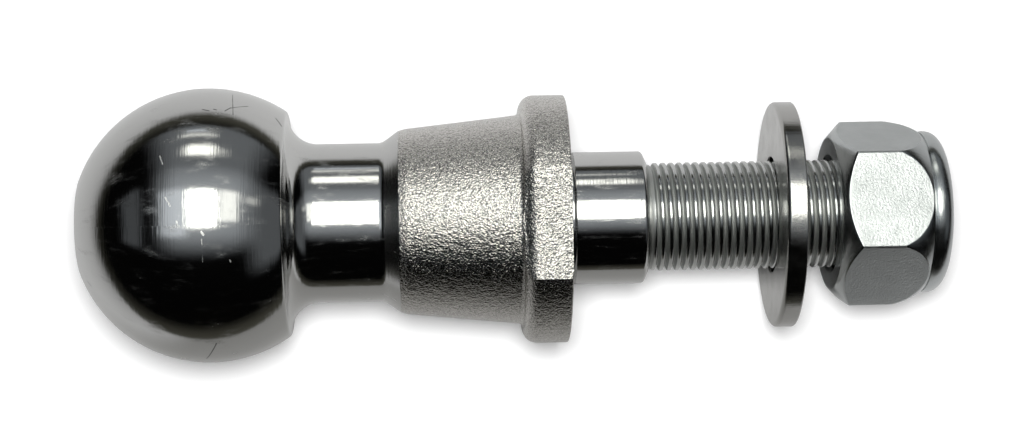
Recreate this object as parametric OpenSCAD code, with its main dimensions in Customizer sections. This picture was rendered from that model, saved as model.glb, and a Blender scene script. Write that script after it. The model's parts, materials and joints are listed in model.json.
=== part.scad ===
// Threaded tow ball: a forged ball stud with a loose plain washer and a nylon-insert lock nut.
// It lies on its ball and its washer, with the stud's axis in the XZ plane and the nut towards +X.

/* [Ball] */
// Diameter of the coupling ball
ball_d = 50; // [48:0.5:52]
// Diameter of the flat turned on the ball's end
ball_end_d = 18; // [12:0.5:20]
// Distance from the ball's centre to its flat rear face
ball_face_s = 14.4; // [13.5:0.1:17]
// Rounding of the edge between the ball and its rear face
ball_edge_r = 0.9; // [0.4:0.1:1.4]

/* [Neck] */
// Diameter of the polished neck
neck_d = 29; // [26:0.5:31]
// Length of the neck, from the ball's rear face to the body's chamfer
neck_l = 17.3; // [12:0.1:24]
// Radius of the fillet between the ball's rear face and the neck
neck_fillet_r = 5.4; // [2:0.1:6]
// Radius of the blend between the neck and the body's chamfer
neck_blend_r = 2.4; // [1:0.1:3]

/* [Forged body] */
// Diameter of the body at its front edge
body_front_d = 33.3; // [32:0.1:35]
// Diameter of the body where it meets the collar
body_rear_d = 38.4; // [36:0.1:39.4]
// Length of the tapered body
body_l = 22.1; // [16:0.1:30]
// Length of the polished chamfer between the neck and the body
body_chamfer_l = 2.8; // [1.5:0.1:4]
// Length of the eased front edge of the body
body_edge_l = 1.3; // [0.5:0.1:2]
// Depth of the eased front edge of the body
body_edge_h = 0.35; // [0.1:0.05:0.6]

/* [Collar] */
// Diameter of the collar
collar_d = 45.5; // [44:0.1:46.5]
// Thickness of the collar
collar_t = 8.3; // [7:0.1:12]
// Rounding of the collar's front edge
collar_round_r = 2.7; // [2:0.1:4]
// Radius of the blend between the body and the collar's front
collar_blend_r = 0.9; // [0.3:0.1:1.5]
// Bevel of the collar's rear edge
collar_bevel = 0.3; // [0.1:0.1:0.8]
// Width across the two wrench flats
collar_flats_w = 41; // [39:0.1:42]
// Length of the slope that leads from the body up to the wrench flats
collar_flat_run = 3.7; // [2:0.1:4.5]
// Turn of the wrench flats about the axis, from lying level
collar_roll = 2; // [-6:1:6]

/* [Register] */
// Diameter of the polished register behind the collar
register_d = 24.3; // [23:0.1:26]
// Length of the register with its relief, without its chamfer
register_l = 14; // [8:0.1:18]
// Length of the chamfer from the register down to the thread
register_chamfer_l = 1; // [0.6:0.1:2.5]
// Width of the relief groove at the register's root
relief_w = 1.4; // [0.8:0.1:2]
// Depth of the relief groove
relief_h = 0.4; // [0.2:0.05:0.6]

/* [Thread] */
// Outside diameter of the thread
thread_d = 19.9; // [18:0.1:20.2]
// Length of the threaded shank, from the register's chamfer to the stud's end
thread_l = 47.8; // [42:0.1:60]
// Bevel at the stud's end
thread_bevel = 1.5; // [0.5:0.1:2]

/* [Washer] */
// Outside diameter of the washer
washer_d = 41.5; // [38:0.1:43]
// Difference between the washer's bore and the thread
washer_clear = 1.2; // [1:0.1:2.2]
// Thickness of the washer
washer_t = 3.7; // [2.5:0.1:4.5]
// Bevel of the washer's sharper edges
washer_edge = 0.3; // [0.1:0.05:0.5]
// Rounding of the washer's front edge, which the punch drew in
washer_roll_r = 0.8; // [0.4:0.1:1.2]
// Free thread between the register and the washer
washer_place = 23.1; // [18:0.1:26]
// Gap left between the thread and the bottom of the washer's bore
washer_play = 0.3; // [0.2:0.05:0.4]
// Lean of the loose washer back towards upright
washer_lean = 1.3; // [0:0.1:2]
// Turn of the loose washer sideways
washer_yaw = 0.6; // [-2:0.1:2]

/* [Nut] */
// Width across the nut's flats
nut_flats_w = 30; // [29:0.1:32]
// Height of the nut with its crimped end
nut_h = 20.2; // [18.5:0.1:23]
// Distance between the washer and the nut
nut_place = 7.1; // [4:0.1:9]
// Turn of the nut about the axis, from a flat lying level
nut_roll = -9; // [-12:1:12]
// How much narrower the bearing face inside the front chamfer is than the flats
nut_face_inset = 1.9; // [1:0.1:3]
// Slope of the nut's front chamfer
nut_chamfer_deg = 42; // [20:1:45]
// Length over which the corners fall off towards the crimped end
nut_fall_l = 6; // [4:0.1:8]
// Radius of the dome that the corners fall off in
nut_dome_r = 13.6; // [9:0.1:20]
// Radial play between the thread and the nut's bore
nut_play = 0.2; // [0.15:0.05:0.4]
// Depth of the countersink at the nut's mouth
nut_sink = 0.8; // [0.4:0.1:1.2]

/* [Crimped end] */
// How much narrower the crimped collar is than the flats
crimp_inset = 0.1; // [0.1:0.1:1.5]
// Height of the crimped collar
crimp_h = 3.9; // [3.8:0.1:4.4]
// Rounding of the crimped collar
crimp_round_r = 2.6; // [1.8:0.1:3.1]
// Width of the groove between the hexagon and the crimped collar
crimp_groove_w = 0.5; // [0.3:0.1:0.6]
// Depth of the groove
crimp_groove_h = 0.4; // [0.2:0.1:0.6]
// Thickness of the lip turned in over the nylon ring
crimp_lip_t = 0.9; // [0.6:0.1:1.2]
// Reach of the lip over the nylon ring
crimp_lip_w = 1.2; // [0.6:0.1:1.8]

/* [Nylon ring] */
// Width of the nylon ring between its bore and its outside
ring_w = 2.35; // [1.8:0.05:2.7]
// Height of the nylon ring
ring_h = 3.6; // [2.8:0.1:4]
// Play between the nylon ring and its pocket
ring_play = 0.1; // [0.05:0.01:0.15]

/* [Hidden] */
$fn = 96;
// Overlap that lets solids that belong together join into one
join = 0.5;
// Reach of a cutter past the face that it cuts
past = 1;

ball_r = ball_d / 2;
neck_r = neck_d / 2;
body_front_r = body_front_d / 2;
body_rear_r = body_rear_d / 2;
collar_r = collar_d / 2;
register_r = register_d / 2;
thread_r = thread_d / 2;
washer_r = washer_d / 2;
washer_bore_r = thread_r + washer_clear / 2;
crimp_r = (nut_flats_w - crimp_inset) / 2;

// Places along the axis, counted from the ball's centre towards the nut
chamfer_s = ball_face_s + neck_l;
body_s = chamfer_s + body_chamfer_l;
collar_s = body_s + body_l;
seat_s = collar_s + collar_t;
register_end_s = seat_s + register_l;
thread_s = register_end_s + register_chamfer_l;
stud_end_s = thread_s + thread_l;
washer_s = thread_s + washer_place;
washer_end_s = washer_s + washer_t;
nut_s = washer_end_s + nut_place;
nut_end_s = nut_s + nut_h;
hex_end_s = nut_end_s - crimp_h;
ring_end_s = nut_end_s - crimp_lip_t - ring_play;
ring_s = ring_end_s - ring_h;

// Distance from the ball's centre to the flat on its end
ball_end_s = sqrt(pow(ball_r, 2) - pow(ball_end_d / 2, 2));

// Centre of the ball's rounded rear edge, and the room it leaves for the neck's fillet
edge_s = ball_face_s - ball_edge_r;
edge_r = sqrt(pow(ball_r - ball_edge_r, 2) - pow(edge_s, 2));
fillet_r = min(neck_fillet_r, edge_r - neck_r);

// The blend of the neck into the chamfer runs this far along both
chamfer_turn = atan2(body_front_r - neck_r, body_chamfer_l);
blend_l = min(neck_blend_r * tan(chamfer_turn / 2), body_chamfer_l / 2);
blend_r = blend_l / tan(chamfer_turn / 2);

// The rounding of the collar's front begins where the blend from the body ends
collar_front_r = max(collar_r - collar_round_r, body_rear_r + collar_blend_r);
collar_corner_r = collar_r - collar_front_r;

// The slope up to the wrench flats is made of two equal arcs, hollow at its foot and round at its top.
// Its foot lies a little ahead of the collar's blend.
slope_lead = 0.2;
flat_r = collar_flats_w / 2;
slope_s = collar_s - collar_blend_r - slope_lead;
slope_end_s = slope_s + collar_flat_run;
slope_h = max(flat_r - body_rear_r, 0.1);
slope_r = (pow(collar_flat_run, 2) + pow(slope_h, 2)) / (4 * slope_h);

// The relief groove is an arc that begins a little behind the seat
relief_land = 0.1;
relief_r = (pow(relief_w / 2, 2) + pow(relief_h, 2)) / (2 * relief_h);

// Nut sizes that follow from its flats and from the thread
hex_corner_r = nut_flats_w / sqrt(3);
nut_face_r = (nut_flats_w - nut_face_inset) / 2;
nut_chamfer_l = (hex_corner_r - nut_face_r) * tan(nut_chamfer_deg);
nut_bore_r = thread_r + nut_play;
ring_r = nut_bore_r + ring_w;
pocket_r = ring_r + ring_play;
lip_r = ring_r - crimp_lip_w;

// Centre of the dome that runs from the hexagon's corners down to the crimped collar
fall_s = hex_end_s - nut_fall_l;
dome_chord = [crimp_r - hex_corner_r, nut_fall_l];
dome_out = [dome_chord[1], -dome_chord[0]] / norm(dome_chord);
dome_depth = sqrt(pow(nut_dome_r, 2) - pow(norm(dome_chord) / 2, 2));
dome_center = [hex_corner_r, fall_s] + dome_chord / 2 - dome_out * dome_depth;

// Reach of the collar's corners and of the nut's corners below the axis
flat_half_deg = acos(collar_flats_w / collar_d);
collar_reach = collar_r * cos(flat_half_deg - abs(collar_roll));
nut_reach = hex_corner_r * cos(30 - abs(nut_roll));

// The washer is lifted by the stud that lies in its bore, and it leans on the edge of its rear face
washer_lift = washer_clear / 2 - washer_play;
half_t = washer_t / 2;
foot_s = washer_s + half_t + washer_r * sin(washer_lean) + (half_t - washer_edge) * cos(washer_lean);
foot_r = washer_r * cos(washer_lean) - (half_t - washer_edge) * sin(washer_lean) - washer_lift;

// Tilt at which a ring of radius r at place s comes to the floor that the ball lies on
function tilt_for(s, r) = asin(ball_r / norm([s, r])) - atan2(r, s);

// The axis tilts down until the washer, the collar or the nut meets the floor
rest_tilt = min(
    tilt_for(foot_s, foot_r),
    tilt_for(seat_s, collar_reach),
    tilt_for(fall_s, nut_reach)
);

// The origin lies on the floor, midway between the ball's end and the nut's end
ball_reach = ball_end_s * cos(rest_tilt) + ball_end_d / 2 * sin(rest_tilt);
crimp_reach = (nut_end_s - crimp_round_r) * cos(rest_tilt)
    + (crimp_r - crimp_round_r) * sin(rest_tilt) + crimp_round_r;
ball_x = (ball_reach - crimp_reach) / 2;

// Stands a shape drawn along +Z from the ball's centre into its lying place
module laid_down() {
    translate([ball_x, 0, ball_r]) rotate([0, 90 + rest_tilt, 0]) children();
}

// A band of the section from place s0 to place s1, out to radius r
module band(r, s0, s1) {
    translate([0, s0]) square([r, s1 - s0]);
}

// Ball with a flat on its end, a flat rear face and a rounded edge
module ball_section() {
    toward = [edge_r, edge_s] / norm([edge_r, edge_s]);
    center = [edge_r, edge_s];
    difference() {
        intersection() {
            circle(ball_r);
            band(ball_r, -ball_end_s, ball_face_s);
        }
        polygon([
            center,
            center + [0, ball_edge_r + past],
            center + [ball_edge_r + past, ball_edge_r + past],
            center + toward * (ball_edge_r + past),
        ]);
    }
    translate(center) circle(ball_edge_r);
}

// Neck with the hollow fillet that runs out onto the ball's rear face
module neck_section() {
    band(neck_r, edge_s, chamfer_s + join);
    difference() {
        translate([0, ball_face_s - join]) square([neck_r + fillet_r, fillet_r + join]);
        translate([neck_r + fillet_r, ball_face_s + fillet_r]) circle(fillet_r);
    }
}

// Chamfer, eased front edge and taper of the forged body
module body_section() {
    blend_end = [neck_r + blend_l * sin(chamfer_turn), chamfer_s + blend_l * cos(chamfer_turn)];
    difference() {
        polygon([
            [neck_r - join, chamfer_s - blend_l],
            [neck_r, chamfer_s - blend_l],
            blend_end,
            [neck_r - join, blend_end[1]],
        ]);
        translate([neck_r + blend_r, chamfer_s - blend_l]) circle(blend_r);
    }
    polygon([
        [0, chamfer_s],
        [neck_r, chamfer_s],
        [body_front_r, body_s],
        [body_front_r + body_edge_h, body_s + body_edge_l],
        [body_rear_r, collar_s],
        [body_rear_r, collar_s + join],
        [0, collar_s + join],
    ]);
}

// Collar with a rounded front edge, blended into the body
module collar_section() {
    band(collar_front_r, collar_s, seat_s);
    band(collar_r, collar_s + collar_corner_r, seat_s - collar_bevel);
    translate([collar_front_r, collar_s + collar_corner_r]) circle(collar_corner_r);
    polygon([
        [0, seat_s - collar_bevel],
        [collar_r, seat_s - collar_bevel],
        [collar_r - collar_bevel, seat_s],
        [0, seat_s],
    ]);
    difference() {
        band(collar_front_r, collar_s - collar_blend_r, collar_s + join);
        translate([body_rear_r + collar_blend_r, collar_s - collar_blend_r]) circle(collar_blend_r);
    }
}

// Register with its relief groove, its chamfer and the threaded shank
module shank_section() {
    difference() {
        band(register_r, seat_s - join, register_end_s);
        translate([register_r - relief_h + relief_r, seat_s + relief_land + relief_w / 2]) circle(relief_r);
    }
    polygon([
        [0, register_end_s - join],
        [register_r, register_end_s - join],
        [register_r, register_end_s],
        [thread_r, thread_s],
        [thread_r, stud_end_s - thread_bevel],
        [thread_r - thread_bevel, stud_end_s],
        [0, stud_end_s],
    ]);
}

// Section of what a wrench flat takes away: the slope's hollow foot, its round top and the flat
module flat_section() {
    foot_r = flat_r - slope_h;
    half_run = collar_flat_run / 2;
    intersection() {
        translate([foot_r + slope_r, slope_s]) circle(slope_r);
        translate([foot_r - past, slope_s]) square([collar_r, half_run]);
    }
    translate([foot_r + slope_r, slope_s]) square([collar_r, half_run]);
    difference() {
        translate([flat_r - slope_r, slope_s + half_run]) square([slope_r + collar_r, half_run]);
        translate([flat_r - slope_r, slope_end_s]) circle(slope_r);
    }
    translate([flat_r, slope_end_s]) square([collar_r, seat_s + past - slope_end_s]);
}

// Cutter of one wrench flat
module flat_cutter() {
    translate([0, collar_r, 0]) rotate([90, 0, 0]) linear_extrude(collar_d) flat_section();
}

// The forged and turned stud is one piece
module ball_stud() {
    color("gainsboro") laid_down() difference() {
        rotate_extrude() intersection() {
            union() {
                ball_section();
                neck_section();
                body_section();
                collar_section();
                shank_section();
            }
            band(ball_r + past, -ball_r - past, stud_end_s + past);
        }
        for (side = [0, 180]) rotate([0, 0, side + collar_roll]) flat_cutter();
    }
}

// Section of the washer about its middle
module washer_section() {
    polygon([
        [washer_bore_r, -half_t + washer_edge],
        [washer_bore_r + washer_edge, -half_t],
        [washer_r - washer_roll_r, -half_t],
        [washer_r - washer_roll_r, -half_t + washer_roll_r],
        [washer_r, -half_t + washer_roll_r],
        [washer_r, half_t - washer_edge],
        [washer_r - washer_edge, half_t],
        [washer_bore_r + washer_edge, half_t],
        [washer_bore_r, half_t - washer_edge],
    ]);
    translate([washer_r - washer_roll_r, -half_t + washer_roll_r]) circle(washer_roll_r);
}

// Punched plain washer, hanging on the thread
module washer() {
    color("lightgray") laid_down() translate([-washer_lift, 0, washer_s + half_t])
        rotate([washer_yaw, -washer_lean, 0]) rotate_extrude() washer_section();
}

// Hexagon with a front chamfer and with corners that fall off in a dome towards the crimped end
module hexagon() {
    intersection() {
        rotate([0, 0, nut_roll - 30]) translate([0, 0, nut_s])
            cylinder(r = hex_corner_r, h = hex_end_s - nut_s, $fn = 6);
        rotate_extrude() {
            polygon([
                [0, nut_s],
                [nut_face_r, nut_s],
                [hex_corner_r, nut_s + nut_chamfer_l],
                [hex_corner_r, fall_s],
                [0, fall_s],
            ]);
            intersection() {
                translate(dome_center) circle(nut_dome_r);
                band(hex_corner_r, fall_s, hex_end_s);
            }
        }
    }
}

// Crimped collar behind the hexagon, with a groove at its foot
module crimp_section() {
    band(crimp_r - crimp_groove_h, hex_end_s - join, hex_end_s + crimp_groove_w);
    band(crimp_r, hex_end_s + crimp_groove_w, nut_end_s - crimp_round_r);
    band(crimp_r - crimp_round_r, hex_end_s, nut_end_s);
    intersection() {
        translate([crimp_r - crimp_round_r, nut_end_s - crimp_round_r]) circle(crimp_round_r);
        band(crimp_r + past, hex_end_s + crimp_groove_w, nut_end_s + past);
    }
}

// Countersunk bore, pocket of the nylon ring and opening in the lip
module nut_hollow_section() {
    band(nut_bore_r, nut_s - past, nut_end_s);
    polygon([
        [0, nut_s - past],
        [nut_bore_r + nut_sink + past, nut_s - past],
        [nut_bore_r, nut_s + nut_sink],
        [0, nut_s + nut_sink],
    ]);
    band(pocket_r, ring_s - ring_play, ring_end_s + ring_play);
    band(lip_r, ring_end_s, nut_end_s + past);
}

// Lock nut, hexagon and crimped collar in one piece
module nut() {
    color("silver") laid_down() difference() {
        union() {
            hexagon();
            rotate_extrude() crimp_section();
        }
        rotate_extrude() nut_hollow_section();
    }
}

// Nylon ring held in the nut's crimped end
module nylon_ring() {
    color("ivory") laid_down() rotate_extrude()
        translate([nut_bore_r, ring_s]) square([ring_w, ring_h]);
}

ball_stud();
washer();
nut();
nylon_ring();
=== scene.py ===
"""Looks of a threaded tow ball: forged stud, rolled thread, plain washer, lock nut and nylon ring."""

import json
import logging
import math
from dataclasses import dataclass
from enum import Enum
from typing import Iterable, Sequence, Union

import bpy
import numpy as np
from mathutils import Matrix, Vector


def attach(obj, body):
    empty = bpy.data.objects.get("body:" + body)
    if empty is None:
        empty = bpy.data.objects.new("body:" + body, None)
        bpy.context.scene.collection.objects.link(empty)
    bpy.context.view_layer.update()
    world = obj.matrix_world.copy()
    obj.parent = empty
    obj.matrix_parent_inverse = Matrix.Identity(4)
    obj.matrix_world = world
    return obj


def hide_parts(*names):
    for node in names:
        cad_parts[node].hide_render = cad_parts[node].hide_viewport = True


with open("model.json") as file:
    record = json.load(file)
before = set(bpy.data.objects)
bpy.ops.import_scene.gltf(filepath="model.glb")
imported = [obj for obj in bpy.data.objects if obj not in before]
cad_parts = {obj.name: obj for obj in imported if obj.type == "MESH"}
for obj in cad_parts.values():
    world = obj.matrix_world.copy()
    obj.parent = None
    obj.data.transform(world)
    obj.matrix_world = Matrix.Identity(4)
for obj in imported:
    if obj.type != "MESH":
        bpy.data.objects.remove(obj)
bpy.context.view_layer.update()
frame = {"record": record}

LOG = logging.getLogger("tow_ball")
MM = 0.001
IMAGE_W = 1024
IMAGE_H = 448

# Sizes that several pieces share, in millimetres
BALL_R = 25.0
THREAD_R = 9.95
NUT_BORE_R = 10.15

FLOAT = "NodeSocketFloat"
INTEGER = "NodeSocketInt"
VECTOR = "NodeSocketVector"
GEOMETRY = "NodeSocketGeometry"

# Numbers of the Mix node's sockets for colours
MIX_FIRST = 6
MIX_SECOND = 7
MIX_RESULT = 2

Point = tuple[float, float]
Triple = tuple[float, float, float]
Color = Triple
Row = tuple[np.ndarray, np.ndarray]
Socket = bpy.types.NodeSocket
Given = Union[Socket, float, tuple[float, ...]]


class StudSkin(Enum):
    """Parts of the stud's surface, numbered as its materials are."""

    POLISHED = 0
    BLASTED = 1


class NutSkin(Enum):
    """Parts of the nut's surface, numbered as its materials are."""

    TURNED = 0
    FLATS = 1


@dataclass(frozen=True)
class Lie:
    """How the stud lies on the floor, taken from the frame.

    The local z axis runs along the stud from the ball's centre, and local x points down.
    """

    centre: Vector
    axis: Vector

    @property
    def down(self) -> Vector:
        """Direction of local x: square to the axis, towards the floor."""
        return Vector((self.axis.z, 0.0, -self.axis.x))

    @property
    def side(self) -> Vector:
        """Direction of local y."""
        return Vector((0.0, 1.0, 0.0))

    def to_world(self, local_mm: np.ndarray) -> np.ndarray:
        """Places local points in the frame.

        Args:
            local_mm: Points in millimetres, one row each.

        Returns:
            The points in metres, in the frame.
        """
        basis = np.array([self.down, self.side, self.axis], float)
        return np.array(self.centre, float) + (local_mm * MM) @ basis


def lie_from_frame() -> Lie:
    """Reads the ball's centre and the stud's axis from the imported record.

    Returns:
        The stud's place in the frame.
    """
    mounts = {mount["name"]: mount for mount in frame["record"]["mounts"]}
    ball = mounts["coupling_ball"]
    seat = mounts["seat"]
    return Lie(Vector(ball["pos_m"]), Vector(seat["axis"]).normalized())


LIE = lie_from_frame()


def arc(centre: Point, radius: float, start_deg: float, end_deg: float, steps: int) -> list[Point]:
    """Points along an arc of a section.

    Args:
        centre: Centre of the arc, as radius and place along the axis.
        radius: Radius of the arc.
        start_deg: Angle of the first point, counted from the outward direction.
        end_deg: Angle of the last point.
        steps: Number of steps along the arc.

    Returns:
        The arc's points, both ends included.
    """
    angles = np.radians(np.linspace(start_deg, end_deg, steps + 1))
    return [(centre[0] + radius * math.cos(a), centre[1] + radius * math.sin(a)) for a in angles]


def eased(points: Sequence[Point], radius: float, steps: int) -> list[Point]:
    """Rounds the middle corner of three points.

    Args:
        points: The point before the corner, the corner and the point after it.
        radius: Radius of the rounding.
        steps: Number of steps along the rounding.

    Returns:
        The points of the rounding, in order.
    """
    before, corner, after = (np.array(point, float) for point in points)
    back = (before - corner) / np.linalg.norm(before - corner)
    ahead = (after - corner) / np.linalg.norm(after - corner)
    half = math.acos(float(np.clip(back @ ahead, -1, 1))) / 2
    reach = radius / math.tan(half)
    middle = corner + (back + ahead) / np.linalg.norm(back + ahead) * radius / math.sin(half)
    first = corner + back * reach - middle
    last = corner + ahead * reach - middle
    turn = math.atan2(first[0] * last[1] - first[1] * last[0], float(first @ last))
    rounded = []
    for step in range(steps + 1):
        angle = turn * step / steps
        spun = (
            first[0] * math.cos(angle) - first[1] * math.sin(angle),
            first[0] * math.sin(angle) + first[1] * math.cos(angle),
        )
        rounded.append((middle[0] + spun[0], middle[1] + spun[1]))
    return rounded


def spaced(start: Point, end: Point, steps: int) -> list[Point]:
    """Points between two ends of a straight stretch, without the ends.

    Args:
        start: First end of the stretch.
        end: Last end of the stretch.
        steps: Number of steps that the stretch is cut into.

    Returns:
        The points between the ends.
    """
    shares = [step / steps for step in range(1, steps)]
    return [(start[0] + (end[0] - start[0]) * t, start[1] + (end[1] - start[1]) * t) for t in shares]


def rounded_ring(corners: Sequence[Triple], guard: float = 0.06) -> list[Point]:
    """Closed section with rounded corners, and with a point close to each end of every straight stretch.

    Args:
        corners: Radius, place along the axis and rounding of each corner, in order.
        guard: Distance of those close points from the roundings.

    Returns:
        Points of the section.
    """
    places = [np.array(corner[:2], float) for corner in corners]
    section: list[Point] = []
    for index, (_, _, rounding) in enumerate(corners):
        here = places[index]
        ahead = places[(index + 1) % len(corners)]
        section += eased((places[index - 1], here, ahead), rounding, steps=6)
        run = (ahead - here) / np.linalg.norm(ahead - here)
        next_rounding = corners[(index + 1) % len(corners)][2]
        section.append(tuple(here + run * (rounding + guard)))
        section.append(tuple((here + ahead) / 2))
        section.append(tuple(ahead - run * (next_rounding + guard)))
    return section


def mesh_from(
    name: str, rings: np.ndarray, closed: bool, poles: Sequence[Sequence[float]] = ()
) -> bpy.types.Mesh:
    """Skins rings of points, and closes the first and the last ring with poles.

    Args:
        name: Name of the mesh.
        rings: Local points in millimetres, as rows by columns by three.
        closed: Whether the last ring joins the first, as on a hollow ring.
        poles: Local end points before the first and after the last ring, or none.

    Returns:
        The mesh in the frame, with its faces pointing outwards.
    """
    rows, columns = rings.shape[:2]
    points = rings.reshape(-1, 3)
    faces = []
    for row in range(rows if closed else rows - 1):
        for column in range(columns):
            beside = (column + 1) % columns
            ahead = (row + 1) % rows
            faces.append((
                row * columns + column,
                row * columns + beside,
                ahead * columns + beside,
                ahead * columns + column,
            ))
    if len(poles):
        first, last = len(points), len(points) + 1
        points = np.vstack([points, np.array(poles, float)])
        end_row = (rows - 1) * columns
        for column in range(columns):
            beside = (column + 1) % columns
            faces.append((first, beside, column))
            faces.append((last, end_row + column, end_row + beside))
    mesh = bpy.data.meshes.new(name)
    mesh.from_pydata(LIE.to_world(points).tolist(), [], faces)
    mesh.validate()
    mesh.update()
    return mesh


def polar(radius: np.ndarray, angles: np.ndarray, place: np.ndarray) -> np.ndarray:
    """Points from radii, angles and places along the axis.

    Args:
        radius: Radii as rows by columns, in millimetres.
        angles: Angle of each column, from local x.
        place: Places along the axis as rows by columns, or one for each row.

    Returns:
        Local points as rows by columns by three.
    """
    along = np.broadcast_to(place, radius.shape)
    return np.stack([radius * np.cos(angles), radius * np.sin(angles), along], axis=-1)


def lathe(section: Sequence[Point], columns: int) -> np.ndarray:
    """Turns a section about the stud's axis.

    Args:
        section: Points as radius and place along the axis, in millimetres.
        columns: Number of columns around the axis.

    Returns:
        Local points as rows by columns by three.
    """
    angles = np.linspace(0, 2 * math.pi, columns, endpoint=False)
    points = np.array(section, float)
    return polar(np.repeat(points[:, :1], columns, axis=1), angles, points[:, 1:])


def add_object(name: str, data: bpy.types.ID) -> bpy.types.Object:
    """Makes an object of a mesh, a lamp or a camera, and puts it in the scene.

    Args:
        name: Name of the object.
        data: What the object shows.

    Returns:
        The new object at the origin.
    """
    made = bpy.data.objects.new(name, data)
    bpy.context.scene.collection.objects.link(made)
    return made


def finish_piece(
    mesh: bpy.types.Mesh, materials: Iterable[bpy.types.Material], sharp_deg: float
) -> bpy.types.Object:
    """Makes a piece from a mesh, smooth but for its sharp edges.

    Args:
        mesh: The piece's mesh, in the frame, with the piece's name.
        materials: Materials in the order of the faces' material numbers.
        sharp_deg: Angle between faces from which an edge is sharp.

    Returns:
        The new object at the origin.
    """
    for material in materials:
        mesh.materials.append(material)
    mesh.shade_smooth()
    mesh.set_sharp_from_angle(angle=math.radians(sharp_deg))
    return add_object(mesh.name, mesh)


def declare(piece: bpy.types.Object, body: str, node: str) -> None:
    """Ties a piece to the frame.

    Args:
        piece: The piece.
        body: Body that it moves with.
        node: Solid that it stands for, or an empty name.
    """
    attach(piece, body)
    if node:
        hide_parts(node)
    LOG.info("piece %s rides %s with %d faces", piece.name, body, len(piece.data.polygons))


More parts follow.
